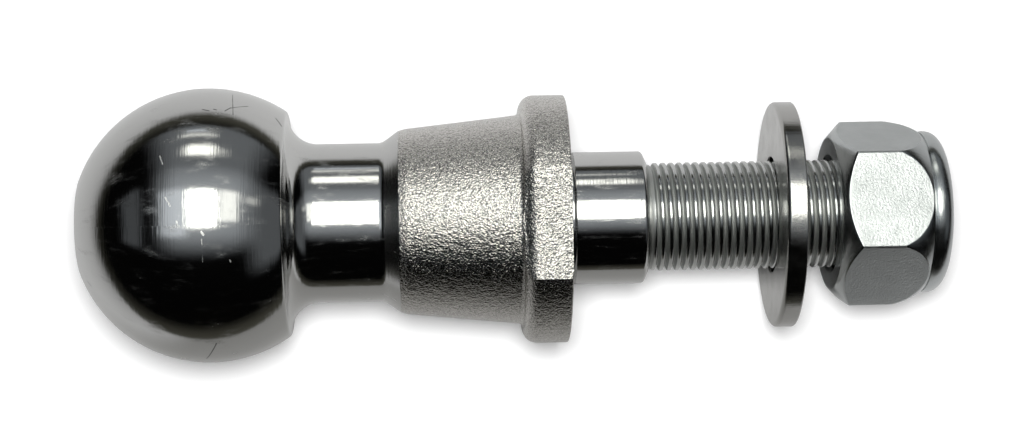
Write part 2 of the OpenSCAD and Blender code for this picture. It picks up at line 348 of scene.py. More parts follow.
class Tree:
    """A node tree that is written with few words."""

    def __init__(self, tree: bpy.types.NodeTree) -> None:
        """Takes the tree that the nodes go into."""
        self.tree = tree

    def node(self, kind: str, **settings: object) -> bpy.types.Node:
        """Adds a node.

        Args:
            kind: Type name of the node.
            **settings: Properties of the node.

        Returns:
            The new node.
        """
        made = self.tree.nodes.new(kind)
        for key, value in settings.items():
            setattr(made, key, value)
        return made

    def put(self, socket: Socket, value: Given) -> None:
        """Links a socket to an output, or sets it to a plain value."""
        if isinstance(value, Socket):
            self.tree.links.new(value, socket)
        else:
            socket.default_value = value

    def math(self, operation: str, first: Given, second: Given = 0.0, third: Given = 0.0) -> Socket:
        """Adds a Math node.

        Args:
            operation: Name of the operation.
            first: First value or output.
            second: Second value or output.
            third: Third value or output.

        Returns:
            The result.
        """
        made = self.node("ShaderNodeMath", operation=operation)
        for socket, value in zip(made.inputs, (first, second, third)):
            self.put(socket, value)
        return made.outputs[0]

    def plus(self, first: Given, second: Given) -> Socket:
        """Returns the sum of two values."""
        return self.math("ADD", first, second)

    def minus(self, first: Given, second: Given) -> Socket:
        """Returns the difference of two values."""
        return self.math("SUBTRACT", first, second)

    def times(self, first: Given, second: Given) -> Socket:
        """Returns the product of two values."""
        return self.math("MULTIPLY", first, second)

    def times_plus(self, first: Given, second: Given, added: Given) -> Socket:
        """Returns the product of two values, plus a third."""
        return self.math("MULTIPLY_ADD", first, second, added)

    def held(self, value: Given, low: Given, high: Given) -> Socket:
        """Returns a value that is kept between two bounds."""
        return self.math("MINIMUM", self.math("MAXIMUM", value, low), high)

    def vector(self, operation: str, first: Given, second: Given, output: str = "Vector") -> Socket:
        """Adds a Vector Math node of two vectors.

        Args:
            operation: Name of the operation.
            first: First vector or output.
            second: Second vector or output.
            output: Name of the node's output.

        Returns:
            The result.
        """
        made = self.node("ShaderNodeVectorMath", operation=operation)
        self.put(made.inputs[0], first)
        self.put(made.inputs[1], second)
        return made.outputs[output]

    def dot(self, first: Given, second: Given) -> Socket:
        """Returns the dot product of two vectors."""
        return self.vector("DOT_PRODUCT", first, second, "Value")

    def scaled(self, vector: Given, factor: Given) -> Socket:
        """Returns a vector times a value."""
        made = self.node("ShaderNodeVectorMath", operation="SCALE")
        self.put(made.inputs[0], vector)
        self.put(made.inputs["Scale"], factor)
        return made.outputs[0]

    def joined(self, first: Given, second: Given) -> Socket:
        """Returns the vector of two values and a zero."""
        made = self.node("ShaderNodeCombineXYZ")
        self.put(made.inputs[0], first)
        self.put(made.inputs[1], second)
        return made.outputs[0]

    def split(self, vector: Socket) -> tuple[Socket, ...]:
        """Returns the three values of a vector."""
        made = self.node("ShaderNodeSeparateXYZ")
        self.put(made.inputs[0], vector)
        return tuple(made.outputs)

    def object_place(self) -> Socket:
        """Returns the Object coordinates."""
        return self.node("ShaderNodeTexCoord").outputs["Object"]

    def fade(
        self, value: Given, start: Given, end: Given, low: float = 0.0, high: float = 1.0
    ) -> Socket:
        """Maps a value smoothly from one range to another.

        Args:
            value: Value or output.
            start: Value that gives low.
            end: Value that gives high.
            low: Result at the start.
            high: Result at the end.

        Returns:
            The result, held at both ends.
        """
        made = self.node("ShaderNodeMapRange", interpolation_type="SMOOTHSTEP")
        for socket, given in zip(made.inputs, (value, start, end, low, high)):
            self.put(socket, given)
        return made.outputs[0]

    def noise(
        self, place: Socket, scale: float = 1.0, detail: float = 3.0, roughness: float = 0.6
    ) -> Socket:
        """Adds a noise texture.

        Args:
            place: Coordinates.
            scale: Cells for each unit of the coordinates.
            detail: Octaves.
            roughness: Weight of the finer octaves.

        Returns:
            The noise, about 0 to 1.
        """
        made = self.node("ShaderNodeTexNoise")
        self.put(made.inputs["Vector"], place)
        self.put(made.inputs["Scale"], scale)
        self.put(made.inputs["Detail"], detail)
        self.put(made.inputs["Roughness"], roughness)
        return made.outputs[0]

    def blend(self, factor: Given, first: Union[Socket, Color], second: Union[Socket, Color]) -> Socket:
        """Mixes two colours.

        Args:
            factor: Share of the second colour.
            first: First colour or output.
            second: Second colour or output.

        Returns:
            The mixed colour.
        """
        made = self.node("ShaderNodeMix", data_type="RGBA")
        self.put(made.inputs["Factor"], factor)
        for index, color in ((MIX_FIRST, first), (MIX_SECOND, second)):
            self.put(made.inputs[index], color if isinstance(color, Socket) else (*color, 1.0))
        return made.outputs[MIX_RESULT]

    def group(self, source: bpy.types.NodeTree, **values: Given) -> bpy.types.Node:
        """Places a node group and sets its inputs by name.

        Args:
            source: The group.
            **values: Values or outputs, with underscores for the spaces in the names.

        Returns:
            The group's node.
        """
        made = self.node("ShaderNodeGroup")
        made.node_tree = source
        for key, value in values.items():
            self.put(made.inputs[key.replace("_", " ")], value)
        return made


def new_group(
    name: str, inputs: dict[str, str], outputs: dict[str, str]
) -> tuple[Tree, dict[str, Socket], bpy.types.Node]:
    """Starts a shader node group.

    Args:
        name: Name of the group.
        inputs: Socket types of its inputs, by name.
        outputs: Socket types of its outputs, by name.

    Returns:
        The group's tree, its inputs by name and its output node.
    """
    tree = bpy.data.node_groups.new(name, "ShaderNodeTree")
    for side, sockets in (("INPUT", inputs), ("OUTPUT", outputs)):
        for label, kind in sockets.items():
            tree.interface.new_socket(label, in_out=side, socket_type=kind)
    wrapped = Tree(tree)
    source = wrapped.node("NodeGroupInput")
    target = wrapped.node("NodeGroupOutput")
    return wrapped, {socket.name: socket for socket in source.outputs}, target


def stud_place_group() -> bpy.types.NodeTree:
    """Builds the group that gives the place along the stud and around it.

    Returns:
        The group, with Along and Radius in millimetres, Turn in radians, and Local, the place from the
        ball's centre in millimetres.
    """
    outputs = {"Along": FLOAT, "Radius": FLOAT, "Turn": FLOAT, "Local": VECTOR}
    tree, _, target = new_group("StudPlace", {}, outputs)
    from_ball = tree.vector("SUBTRACT", tree.object_place(), tuple(LIE.centre))
    in_mm = tree.vector("MULTIPLY", from_ball, (1 / MM, 1 / MM, 1 / MM))
    down = tree.dot(in_mm, tuple(LIE.down))
    side = tree.dot(in_mm, tuple(LIE.side))
    radius = tree.math("SQRT", tree.plus(tree.times(down, down), tree.times(side, side)))
    tree.put(target.inputs["Along"], tree.dot(in_mm, tuple(LIE.axis)))
    tree.put(target.inputs["Radius"], radius)
    tree.put(target.inputs["Turn"], tree.math("ARCTAN2", side, down))
    tree.put(target.inputs["Local"], in_mm)
    return tree.tree


def nick_group() -> bpy.types.NodeTree:
    """Builds the group that marks a short scratch.

    Returns:
        The group: 1 on the segment between Start and End, falling to 0 at Width from it.
    """
    inputs = {"Place": VECTOR, "Start": VECTOR, "End": VECTOR, "Width": FLOAT}
    tree, given, target = new_group("Nick", inputs, {"Mask": FLOAT})
    run = tree.vector("SUBTRACT", given["End"], given["Start"])
    away = tree.vector("SUBTRACT", given["Place"], given["Start"])
    share = tree.held(tree.math("DIVIDE", tree.dot(away, run), tree.dot(run, run)), 0.0, 1.0)
    apart = tree.vector("DISTANCE", away, tree.scaled(run, share), "Value")
    tree.put(target.inputs["Mask"], tree.fade(apart, given["Width"], 0.0))
    return tree.tree


def soft_panel_group() -> bpy.types.NodeTree:
    """Builds the group for one soft light panel of the studio.

    Returns:
        The group: Strength inside the panel's two ranges of angles, with soft edges.
    """
    labels = ("Across", "Along", "Across From", "Across To", "Along From", "Along To", "Soft", "Strength")
    tree, given, target = new_group("SoftPanel", dict.fromkeys(labels, FLOAT), {"Light": FLOAT})
    soft = given["Soft"]
    light = given["Strength"]
    for label in ("Across", "Along"):
        low, high = given[label + " From"], given[label + " To"]
        rise = tree.fade(given[label], tree.minus(low, soft), tree.plus(low, soft))
        drop = tree.fade(given[label], tree.plus(high, soft), tree.minus(high, soft))
        light = tree.times(light, tree.times(rise, drop))
    tree.put(target.inputs["Light"], light)
    return tree.tree


WARM: Color = (1.0, 1.0, 0.92)
COOL: Color = (0.93, 0.99, 1.05)


@dataclass(frozen=True)
class Panel:
    """A soft light panel, as angles from straight up in degrees."""

    across: Point
    along: Point
    soft: float
    strength: float
    tint: Color


@dataclass(frozen=True)
class FillLamp:
    """Wide sun straight above, which lights the floor and leaves no glint on the metal."""

    energy: float = 0.5
    spread_deg: float = 120.0

    def build(self) -> None:
        """Builds the lamp."""
        data = bpy.data.lights.new("fill", "SUN")
        data.energy = self.energy
        data.angle = math.radians(self.spread_deg)
        add_object("fill", data).visible_glossy = False


@dataclass(frozen=True)
class Flash:
    """Round lamp beside the lens, which lays a narrow soft shadow around the object, in millimetres."""

    level: float = 3.7
    radius: float = 50.0
    shift: Point = (0.0, 30.0)
    behind: float = 1.0

    def build(self, lens: Vector) -> None:
        """Builds the lamp.

        Args:
            lens: Place of the camera.
        """
        data = bpy.data.lights.new("flash", "AREA")
        data.shape = "DISK"
        data.size = 2 * self.radius * MM
        data.energy = self.level * math.pi * lens.z ** 2
        lamp = add_object("flash", data)
        lamp.location = lens + Vector((*self.shift, self.behind)) * MM
        lamp.visible_camera = False
        lamp.visible_glossy = False


@dataclass
class Studio:
    """Floor, light and camera around the object."""

    panels: tuple[Panel, ...] = (
        Panel((-1, 29), (-10, 11.5), 2.5, 6.0, WARM),
        Panel((3, 30), (15, 30), 2.0, 1.3, WARM),
        Panel((21, 28), (35, 46), 2.0, 0.5, WARM),
        Panel((-9, 31), (-33, -12), 4.0, 0.50, COOL),
        Panel((-16, 42), (-30, 38), 14.0, 0.40, COOL),
        Panel((60, 70), (-12, 7), 2.0, 1.75, WARM),
        Panel((61, 68), (-16, 16), 3.0, 0.5, WARM),
        Panel((79, 82), (-16, 6), 1.5, 1.0, WARM),
        Panel((84, 86), (-13, 1), 1.0, 0.8, COOL),
        Panel((36, 98), (-30, 38), 12.0, 0.18, COOL),
        Panel((-50, 44), (40, 75), 10.0, 0.12, COOL),
        Panel((-24, 44), (-67, -50), 4.0, 0.08, COOL),
    )
    fill: FillLamp = FillLamp()
    flash: Flash = Flash()
    dim: float = 0.0015
    floor_half: float = 3.0
    floor_color: float = 0.86
    camera_lift: float = 0.15
    flash_level: float = 0.78
    sheet_color: float = 0.55
    sheet_x: Point = (170.0, 420.0)
    sheet_front: Point = (-145.0, -125.0)
    sheet_back: Point = (112.0, 190.0)
    # Painted shade on the mirrored sheet: darker towards the front, down to this share, and lifted again
    # past the left and right ends
    painted_shade: float = 0.46
    painted_shade_across: Point = (-60.0, 40.0)
    painted_shade_left: Point = (-70.0, -120.0)
    painted_shade_right: Point = (40.0, 90.0)
    table: Color = (0.068, 0.066, 0.053)
    camera_height: float = 0.395
    camera_near: float = 0.01
    camera_focal_px: float = 2023.0
    camera_roll_deg: float = -1.12
    ball_px: Point = (210.9, 225.4)
    sensor: float = 36.0

    def light(self) -> None:
        """Builds the world of soft panels that the metal mirrors."""
        world = bpy.data.worlds.new("studio")
        bpy.context.scene.world = world
        world.cycles_visibility.diffuse = False
        world.use_nodes = True
        world.node_tree.nodes.clear()
        tree = Tree(world.node_tree)
        x, y, z = tree.split(tree.node("ShaderNodeTexCoord").outputs["Generated"])
        across = tree.math("DEGREES", tree.math("ARCTAN2", y, z))
        along = tree.math("DEGREES", tree.math("ARCSINE", x))
        source = soft_panel_group()
        total: Given = (self.dim,) * 3
        for panel in self.panels:
            made = tree.group(source, Across=across, Along=along, Soft=panel.soft, Strength=panel.strength)
            for label, pair in (("Across", panel.across), ("Along", panel.along)):
                made.inputs[label + " From"].default_value = pair[0]
                made.inputs[label + " To"].default_value = pair[1]
            total = tree.vector("ADD", tree.scaled(panel.tint, made.outputs["Light"]), total)
        seen = tree.node("ShaderNodeLightPath").outputs["Is Camera Ray"]
        background = tree.node("ShaderNodeBackground")
        tree.put(background.inputs["Color"], tree.vector("MAXIMUM", total, seen))
        output = tree.node("ShaderNodeOutputWorld")
        tree.put(output.inputs["Surface"], background.outputs[0])

    def sheet(self, tree: Tree, x: Socket, y: Socket) -> Socket:
        """Mask of the sheet that the metal mirrors: an oblong with soft edges, darkened towards the front
        by painted shade.

        Args:
            tree: The floor's tree.
            x: Place along the object.
            y: Place across the object.

        Returns:
            The mask.
        """
        near, far = self.sheet_x
        mask = tree.fade(tree.math("ABSOLUTE", x), far * MM, near * MM)
        for start, end in (self.sheet_front, self.sheet_back[::-1]):
            mask = tree.times(mask, tree.fade(y, start * MM, end * MM))
        # Painted shade: the mirrored sheet darkens towards the front and is spared again past both ends
        low, high = self.painted_shade_across
        shade = tree.fade(y, low * MM, high * MM, self.painted_shade, 1.0)
        for start, end in (self.painted_shade_left, self.painted_shade_right):
            spared = tree.fade(x, start * MM, end * MM)
            shade = tree.times_plus(tree.minus(1.0, shade), spared, shade)
        return tree.times(mask, shade)

    def floor_material(self) -> bpy.types.Material:
        """Builds the floor's finish: white to the camera, and to the metal a sheet on a table, with
        painted shade towards the front.

        Returns:
            The material.
        """
        material = bpy.data.materials.new("floor_pale")
        material.use_nodes = True
        material.node_tree.nodes.clear()
        tree = Tree(material.node_tree)
        x, y, _ = tree.split(tree.object_place())
        path = tree.node("ShaderNodeLightPath")
        mirrored = tree.blend(self.sheet(tree, x, y), self.table, (self.sheet_color,) * 3)
        diffuse = tree.node("ShaderNodeBsdfDiffuse")
        color = tree.blend(path.outputs["Is Glossy Ray"], (self.floor_color,) * 3, mirrored)
        tree.put(diffuse.inputs["Color"], color)
        seen = tree.plus(path.outputs["Is Camera Ray"], path.outputs["Is Transmission Ray"])
        reach = self.camera_height ** 2
        apart = tree.times_plus(x, x, tree.times(y, y))
        nearness = tree.math("DIVIDE", reach, tree.plus(apart, reach))
        lost = tree.minus(1.0, tree.times(nearness, nearness))
        lift = tree.times_plus(lost, self.flash_level, self.camera_lift)
        glow = tree.node("ShaderNodeEmission")
        tree.put(glow.inputs["Strength"], tree.times(seen, lift))
        both = tree.node("ShaderNodeAddShader")
        tree.put(both.inputs[0], diffuse.outputs[0])
        tree.put(both.inputs[1], glow.outputs[0])
        output = tree.node("ShaderNodeOutputMaterial")
        tree.put(output.inputs["Surface"], both.outputs[0])
        return material

    def floor(self) -> None:
        """Builds the pale floor, which keeps the object's shadow."""
        half = self.floor_half
        corners = [(-half, -half, 0), (half, -half, 0), (half, half, 0), (-half, half, 0)]
        mesh = bpy.data.meshes.new("floor")
        mesh.from_pydata(corners, [], [(0, 1, 2, 3)])
        mesh.materials.append(self.floor_material())
        add_object("floor", mesh)

    def camera(self) -> bpy.types.Object:
        """Places the camera straight above, so that the ball's centre falls on its pixel.

        Returns:
            The camera.
        """
        lens = bpy.data.cameras.new("camera")
        lens.sensor_width = self.sensor
        lens.lens = self.camera_focal_px / IMAGE_W * self.sensor
        lens.clip_start = self.camera_near
        depth = self.camera_height - LIE.centre.z
        right = (self.ball_px[0] - IMAGE_W / 2) / self.camera_focal_px * depth
        up = (IMAGE_H / 2 - self.ball_px[1]) / self.camera_focal_px * depth
        roll = math.radians(self.camera_roll_deg)
        x = LIE.centre.x - (right * math.cos(roll) - up * math.sin(roll))
        y = LIE.centre.y - (right * math.sin(roll) + up * math.cos(roll))
        camera = add_object("camera", lens)
        camera.location = (x, y, self.camera_height)
        camera.rotation_euler = (0.0, 0.0, roll)
        bpy.context.scene.camera = camera
        return camera

    def build(self) -> None:
        """Builds light, floor and camera, and the lamp beside the camera."""
        bpy.context.scene.view_settings.view_transform = "Standard"
        self.fill.build()
        self.light()
        self.floor()
        self.flash.build(self.camera().location)


class Groups:
    """Shader node groups that the finishes share."""

    def __init__(self) -> None:
        """Builds each group once."""
        self.place = stud_place_group()
        self.nick = nick_group()


@dataclass(frozen=True)
class Coat:
    """A material in the making: its tree, its surface shader and the place on the stud."""

    tree: Tree
    surface: bpy.types.Node
    place: bpy.types.Node

    def feed(self, label: str, value: Given) -> None:
        """Links an input of the surface shader to an output, or sets it to a plain value."""
        self.tree.put(self.surface.inputs[label], value)

    def at(self, *labels: str) -> list[Socket]:
        """Returns outputs of the place on the stud, by name."""
        return [self.place.outputs[label] for label in labels]

    def raise_bump(self, height_mm: Socket) -> None:
        """Bends the surface's normals by a height.

        Args:
            height_mm: Output that gives the height in millimetres.
        """
        bump = self.tree.node("ShaderNodeBump")
        self.tree.put(bump.inputs["Distance"], MM)
        self.tree.put(bump.inputs["Height"], height_mm)
        self.feed("Normal", bump.outputs["Normal"])


@dataclass(frozen=True)
class Finish:
    """A finish of one colour, which the finishes below add their marks to."""

    name: str
    color: Color
    roughness: float
    metallic: float = 1.0

    def build(self, groups: Groups) -> bpy.types.Material:
        """Builds the material.

        Args:
            groups: Shared node groups.

        Returns:
            The material.
        """
        material = bpy.data.materials.new(self.name)
        material.use_nodes = True
        tree = Tree(material.node_tree)
        coat = Coat(tree, material.node_tree.nodes["Principled BSDF"], tree.group(groups.place))
        coat.feed("Base Color", (*self.color, 1.0))
        coat.feed("Metallic", self.metallic)
        coat.feed("Roughness", self.roughness)
        self.dress(coat, groups)
        return material

    def dress(self, coat: Coat, groups: Groups) -> None:
        """Leaves the finish plain."""

    def shade(self, share: float) -> Color:
        """Returns the finish's colour at a share of its brightness."""
        return tuple(share * part for part in self.color)


@dataclass(frozen=True)
class Nick:
    """A short scratch on the ball, from one place to another.

    A place is the turn from straight up and the angle towards the neck, in degrees.
    """

    start: Point
    end: Point
    width: float
    bright: bool = False

    @staticmethod
    def on_ball(place: Point) -> Triple:
        """Point of a place on the ball, from the ball's centre in the frame's directions.

        Args:
            place: The place, in degrees.

        Returns:
            The point, in millimetres.
        """
        turn, tip = (math.radians(angle) for angle in place)
        away = LIE.side * math.sin(turn) - LIE.down * math.cos(turn)
        return tuple(BALL_R * (away * math.cos(tip) + LIE.axis * math.sin(tip)))


@dataclass(frozen=True)
class PolishedSteel(Finish):
    """Mirror-polished steel with fine turning marks, smears and nicks."""

    turning_per_mm: float = 2.4
    turning_per_rad: float = 2.0
    turning_depth: float = 0.018
    haze_per_mm: float = 0.9
    haze_depth: float = 0.006
    smear_per_mm: float = 0.16
    smear_per_rad: float = 9.0
    smear_range: Point = (0.50, 0.74)
    smear_rough: float = 0.22
    satin_s: Point = (31.9, 34.6)
    satin_soft: Point = (0.4, 0.2)
    satin_rough: float = 0.20
    nick_rough: float = 0.5
    dark_color: Color = (0.05, 0.05, 0.05)
    bright_color: Color = (0.95, 0.95, 0.93)
    nicks: tuple[Nick, ...] = (
        Nick((11.5, -11.9), (8.0, -10.0), 0.22, True),
        Nick((1.7, -7.4), (0.1, -7.0), 0.20, True),
        Nick((-2.6, 2.2), (-3.8, 3.0), 0.26, True),
        Nick((-5.4, 2.3), (-14.6, 2.3), 0.10, True),
        Nick((-14.4, 12.9), (-15.1, 13.2), 0.20, True),
        Nick((30.0, -14.7), (26.0, -13.3), 0.22, True),
        Nick((54.5, 1.1), (53.7, 3.6), 0.22),
        Nick((55.0, 5.5), (54.7, 6.5), 0.22),
        Nick((54.5, 10.0), (57.7, 12.1), 0.18),
        Nick((57.4, 12.1), (62.5, 18.8), 0.18),
        Nick((72.1, 11.8), (65.6, 12.3), 0.12),
        Nick((65.6, 12.3), (59.0, 12.9), 0.12),
        Nick((59.0, 12.9), (52.5, 13.4), 0.12),
        Nick((61.5, 31.2), (56.9, 34.1), 0.20),
        Nick((-56.8, 4.6), (-62.1, 2.7), 0.18),
        Nick((-62.1, 2.7), (-67.3, 0.9), 0.18),
        Nick((-67.3, 0.9), (-72.6, -1.0), 0.18),
        Nick((-44.6, -57.4), (-44.8, -54.0), 0.18),
    )

    def dress(self, coat: Coat, groups: Groups) -> None:
        """Adds the marks of turning and use, and the satin chamfer behind the neck.

        Args:
            coat: The material in the making.
            groups: Shared node groups.
        """
        tree = coat.tree
        along, turn, local = coat.at("Along", "Turn", "Local")
        rings = tree.joined(tree.times(along, self.turning_per_mm), tree.times(turn, self.turning_per_rad))
        streaks = tree.joined(tree.times(along, self.smear_per_mm), tree.times(turn, self.smear_per_rad))
        smears = tree.noise(streaks, detail=4.0, roughness=0.65)
        rough = tree.fade(smears, *self.smear_range, self.roughness, self.roughness + self.smear_rough)
        start, end = self.satin_s
        before, behind = self.satin_soft
        satin = tree.times(tree.fade(along, start - before, start), tree.fade(along, end + behind, end))
        rough = tree.math("MAXIMUM", rough, tree.times(satin, self.satin_rough))
        masks: dict[bool, Given] = {True: 0.0, False: 0.0}
        for nick in self.nicks:
            ends = {"Start": nick.on_ball(nick.start), "End": nick.on_ball(nick.end)}
            mask = tree.group(groups.nick, Place=local, Width=nick.width, **ends).outputs["Mask"]
            masks[nick.bright] = tree.math("MAXIMUM", mask, masks[nick.bright])
        darkened = tree.blend(masks[False], self.color, self.dark_color)
        coat.feed("Base Color", tree.blend(masks[True], darkened, self.bright_color))
        coat.feed("Roughness", tree.times_plus(masks[True], self.nick_rough, rough))
        marks = tree.times(tree.noise(rings), self.turning_depth)
        coat.raise_bump(tree.times_plus(tree.noise(local, self.haze_per_mm), self.haze_depth, marks))


@dataclass(frozen=True)
class BlastedZinc(Finish):
    """Forged skin, blasted and zinc plated, with a sparkling grain."""

    grain_mm: float = 0.30
    grain_depth: float = 0.17
    coarse_mm: float = 0.75
    coarse_share: float = 0.8
    pit_range: Point = (0.34, 0.55)
    pit_shade: float = 0.55

    def dress(self, coat: Coat, groups: Groups) -> None:
        """Adds the grain and its darker pits.

        Args:
            coat: The material in the making.
            groups: Shared node groups, not used here.
        """
        tree = coat.tree
        local = coat.place.outputs["Local"]
        fine = tree.noise(local, 1 / self.grain_mm, detail=2.0, roughness=0.55)
        coarse = tree.noise(local, 1 / self.coarse_mm, detail=1.0, roughness=0.5)
        height = tree.times_plus(coarse, self.coarse_share, fine)
        coat.raise_bump(tree.times(height, self.grain_depth))
        pits = tree.fade(fine, *self.pit_range)
        coat.feed("Base Color", tree.blend(pits, self.shade(self.pit_shade), self.color))


@dataclass(frozen=True)
class PlatedZinc(Finish):
    """Bright zinc plate with a mottle and strokes, and rough below a radius if one is given."""

    mottle_mm: float = 0.5
    mottle_depth: float = 0.006
    cloud_mm: float = 4.0
    cloud_range: Point = (0.3, 0.7)
    cloud_rough: Point = (-0.04, 0.07)
    brush_per_mm: Triple = (0.1, 0.1, 4.0)
    brush_depth: float = 0.0
    smooth_from_r: float = 0.0
    flank_fall: float = 0.25
    flank_roughness: float = 0.5

    def dress(self, coat: Coat, groups: Groups) -> None:
        """Adds the clouds, the rough flanks of a thread, the mottle and the strokes.

        Args:
            coat: The material in the making.
            groups: Shared node groups, not used here.
        """
        tree = coat.tree
        radius, local = coat.at("Radius", "Local")
        clouds = tree.noise(local, 1 / self.cloud_mm)
        bright, dull = (self.roughness + change for change in self.cloud_rough)
        rough = tree.fade(clouds, *self.cloud_range, bright, dull)
        if self.smooth_from_r:
            rough_from = self.smooth_from_r - self.flank_fall
            flank = tree.fade(radius, self.smooth_from_r, rough_from, 0.0, self.flank_roughness)
            rough = tree.math("MAXIMUM", rough, flank)
        coat.feed("Roughness", rough)
        stretched = tree.vector("MULTIPLY", local, self.brush_per_mm)
        strokes = tree.times(tree.noise(stretched), self.brush_depth)
        coat.raise_bump(tree.times_plus(tree.noise(local, 1 / self.mottle_mm), self.mottle_depth, strokes))


@dataclass(frozen=True)
class Nylon(Finish):
    """Natural nylon, slightly waxy."""

    name: str = "nylon_natural"
    color: Color = (0.82, 0.80, 0.73)
    roughness: float = 0.42
    metallic: float = 0.0
    cloud_mm: float = 1.25
    cloud_range: Point = (0.35, 0.65)
    cloud_shade: float = 0.88
    cloud_depth: float = 0.02

    def dress(self, coat: Coat, groups: Groups) -> None:
        """Adds soft clouds.

        Args:
            coat: The material in the making.
            groups: Shared node groups, not used here.
        """
        tree = coat.tree
        local = coat.place.outputs["Local"]
        clouds = tree.noise(local, 1 / self.cloud_mm)
        mask = tree.fade(clouds, *self.cloud_range)
        coat.feed("Base Color", tree.blend(mask, self.shade(self.cloud_shade), self.color))
        coat.raise_bump(tree.times(clouds, self.cloud_depth))


@dataclass
class Stud:
    """Ball, neck, forged body, collar and register of the stud, in millimetres."""

    name: str = "stud_forging"
    pole_r: float = 0.3
    end_r: float = 9.0
    end_round: float = 0.6
    end_lead_deg: float = 2.0
    face_s: float = 14.4
    edge_r: float = 0.9
    neck_r: float = 14.5
    fillet_r: float = 5.4
    chamfer_s: float = 31.5
    chamfer_round: float = 2.4
    body_s: float = 34.5
    body_front_r: float = 16.65
    body_front_round: float = 0.3
    body_edge: Point = (0.35, 1.3)
    body_edge_round: float = 1.2
    body_rear_r: float = 19.2
    collar_s: float = 56.6
    collar_r: float = 22.75
    collar_front_r: float = 20.1
    collar_front_deg: float = -86.0
    collar_blend: float = 0.9
    collar_bevel: float = 0.3
    flat_r: float = 20.5
    flat_run: float = 3.7
    flat_lead: float = 0.2
    flat_roll_deg: float = 2.0
    flat_guard_deg: float = 0.4
    flat_clear_deg: float = 0.7
    seat_s: float = 64.9
    seat_rows: tuple[float, ...] = (20.2, 18.0, 15.0)
    seat_guard: float = 0.05
    register_r: float = 12.15
    register_end_s: float = 78.9
    register_round: float = 0.7
    relief: Point = (0.4, 1.4)
    relief_land: float = 0.1
    thread_s: float = 79.9
    foot: float = 0.5
    blast_inset: Point = (0.1, 0.02)
    columns: int = 216
    sharp_deg: float = 20.0

    def section(self) -> list[Point]:
        """Outline of the stud's section, from the ball's end to the thread.

        Returns:
            Points as radius and place along the axis.
        """
        return self.ball_outline() + self.body_outline() + self.register_outline()

    def ball_outline(self) -> list[Point]:
        """Flat end, ball, rounded edge of the ball's rear face and fillet into the neck.

        Returns:
            Points as radius and place along the axis.
        """
        round_s = self.face_s - self.edge_r
        round_r = math.sqrt((BALL_R - self.edge_r) ** 2 - round_s ** 2)
        meet_deg = math.degrees(math.atan2(round_s, round_r))
        end_s = math.sqrt(BALL_R ** 2 - self.end_r ** 2)
        end_deg = -math.degrees(math.atan2(end_s, self.end_r))
        ball = arc((0.0, 0.0), BALL_R, end_deg + self.end_lead_deg, meet_deg, steps=100)
        points = [(self.pole_r, -end_s), (self.end_r / 2, -end_s)]
        points += eased((points[-1], (self.end_r, -end_s), ball[0]), self.end_round, steps=6)
        points += ball
        points += arc((round_r, round_s), self.edge_r, meet_deg, 90.0, steps=7)[1:]
        fillet_at = (self.neck_r + self.fillet_r, self.face_s + self.fillet_r)
        return points + arc(fillet_at, self.fillet_r, 270.0, 180.0, steps=26)

    def body_outline(self) -> list[Point]:
        """Neck, chamfer, forged body, collar and the collar's rear face.

        Returns:
            Points as radius and place along the axis.
        """
        neck_start = (self.neck_r, self.face_s + self.fillet_r)
        neck_end = (self.neck_r, self.chamfer_s)
        body_front = (self.body_front_r, self.body_s)
        points = spaced(neck_start, neck_end, steps=8)[:-1]
        points += eased((points[-1], neck_end, body_front), self.chamfer_round, steps=10)
        body_edge = (self.body_front_r + self.body_edge[0], self.body_s + self.body_edge[1])
        points += eased((points[-1], body_front, body_edge), self.body_front_round, steps=5)
        body_end = (self.body_rear_r, self.collar_s)
        points += eased((points[-1], body_edge, body_end), self.body_edge_round, steps=3)
        points += spaced(points[-1], body_end, steps=14)[:-1]
        collar_face = (self.collar_front_r + self.collar_blend, self.collar_s)
        points += eased((points[-1], body_end, collar_face), self.collar_blend, steps=10)
        corner = self.collar_r - self.collar_front_r
        corner_at = (self.collar_front_r, self.collar_s + corner)
        points += arc(corner_at, corner, self.collar_front_deg, 0.0, steps=24)
        rear = (self.collar_r, self.seat_s)
        points += spaced(points[-1], rear, steps=6)[:-1]
        points += eased((points[-1], rear, (self.register_r, self.seat_s)), self.collar_bevel, steps=6)
        seat_rows = (*self.seat_rows, self.register_r + self.seat_guard, self.register_r)
        return points + [(radius, self.seat_s) for radius in seat_rows]

    def register_outline(self) -> list[Point]:
        """Relief groove at the register's root, register and chamfer down to the thread.

        Returns:
            Points as radius and place along the axis.
        """
        depth, width = self.relief
        bend = (width ** 2 / 4 + depth ** 2) / (2 * depth)
        half_deg = math.degrees(math.asin(width / 2 / bend))
        groove_at = (self.register_r - depth + bend, self.seat_s + self.relief_land + width / 2)
        register_end = (self.register_r, self.register_end_s)
        thread_start = (THREAD_R, self.thread_s)
        points = arc(groove_at, bend, 180.0 + half_deg, 180.0 - half_deg, steps=12)
        points += spaced(points[-1], register_end, steps=8)[:-1]
        points += eased((points[-1], register_end, thread_start), self.register_round, steps=8)
        points += spaced(points[-1], thread_start, steps=3)
        return points + [thread_start, (THREAD_R - self.foot, self.thread_s)]

    def angles(self) -> np.ndarray:
        """Angles of the columns, with some exactly on and close beside the corners of the wrench flats.

        Returns:
            The angles in order, from local x.
        """
        half = math.degrees(math.acos(self.flat_r / self.collar_r))
        corners = [self.flat_roll_deg + side + half * sign for side in (0, 180) for sign in (-1, 1)]
        guards = (-self.flat_guard_deg, 0.0, self.flat_guard_deg)
        exact = np.array([corner + beside for corner in corners for beside in guards]) % 360
        plain = np.arange(self.columns) * 360 / self.columns
        apart = np.abs((plain[:, None] - exact + 180) % 360 - 180).min(axis=1)
        return np.radians(np.sort(np.concatenate([plain[apart > self.flat_clear_deg], exact])))

